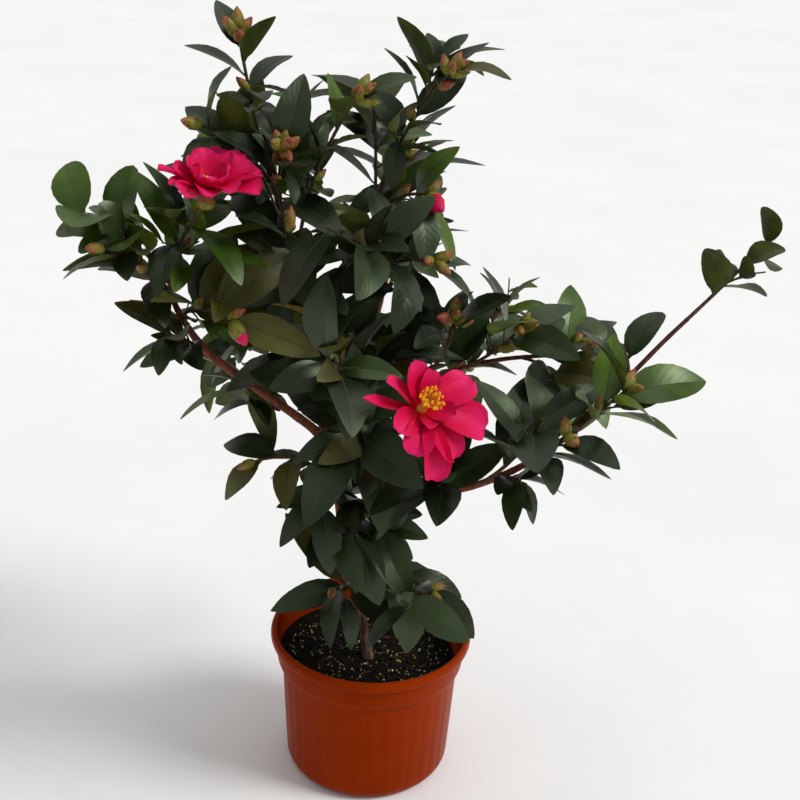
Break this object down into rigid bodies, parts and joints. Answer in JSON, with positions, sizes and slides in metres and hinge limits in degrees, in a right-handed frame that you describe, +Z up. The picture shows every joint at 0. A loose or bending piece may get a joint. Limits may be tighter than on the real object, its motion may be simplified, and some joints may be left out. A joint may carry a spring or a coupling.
{
  "type": "potted camellia shrub",
  "caption": "Young camellia shrub in a round terracotta-coloured nursery pot: leaning trunk, forked boughs, glossy dark leafy sprays with buds and open pink blooms.",
  "frame": {"origin": "centre of the pot's flat underside", "axes": "+Z up along the pot's axis, +X to the viewer's right in the picture, towards the long low shoot, +Y away from the viewer"},
  "size_m": [0.4578, 0.3247, 0.5622],
  "materials": {
    "pot_plastic": "moulded terracotta-coloured plastic, satin, a little scuffed",
    "soil_mix": "dark moist potting mix with pale specks of perlite",
    "bark": "thin red-brown bark, finely ridged",
    "leaf": "leathery dark green leaf, glossy above and matt olive beneath",
    "petal": "soft magenta-pink petal with fine veins"
  },
  "bodies": {
    "root": {"pot": "pot_plastic", "soil": "soil_mix", "trunk": "bark", "left_bough": "bark", "left_bough_end": "bark", "rising_bough": "bark", "middle_bough": "bark", "right_upper_bough": "bark", "right_lower_bough": "bark", "long_shoot": "bark", "front_bough": "bark", "back_bough": "bark", "back_left_bough": "bark", "back_right_bough": "bark", "left_bloom": "petal", "right_bloom": "petal", "top_left_spray": "leaf", "left_tuft": "leaf", "bud_tuft": "leaf", "mid_top_spray": "leaf", "centre_left_spray": "leaf", "top_right_spray": "leaf", "upright_spray": "leaf", "red_bud_spray": "leaf", "mid_right_spray": "leaf", "centre_up_spray": "leaf", "left_bloom_spray": "leaf", "far_left_spray": "leaf", "left_mid_spray": "leaf", "left_low_spray": "leaf", "olive_spray": "leaf", "dark_left_spray": "leaf", "low_left_spray": "leaf", "under_left_spray": "leaf", "under_mid_spray": "leaf", "pot_left_spray": "leaf", "pot_right_spray": "leaf", "bud_row_left": "leaf", "bud_row_right": "leaf", "right_tip_spray": "leaf", "round_leaf_spray": "leaf", "long_leaf_spray": "leaf", "lower_tip_spray": "leaf", "shoot_foot_spray": "leaf", "shoot_tip_spray": "leaf", "hanging_right_spray": "leaf", "hanging_low_spray": "leaf", "front_low_spray": "leaf", "front_left_spray": "leaf", "centre_front_spray": "leaf", "heart_left_spray": "leaf", "heart_right_spray": "leaf", "back_top_spray": "leaf", "back_mid_spray": "leaf", "back_left_spray": "leaf", "back_left_low_spray": "leaf", "back_right_spray": "leaf", "back_right_low_spray": "leaf"}
  },
  "joints": []
}
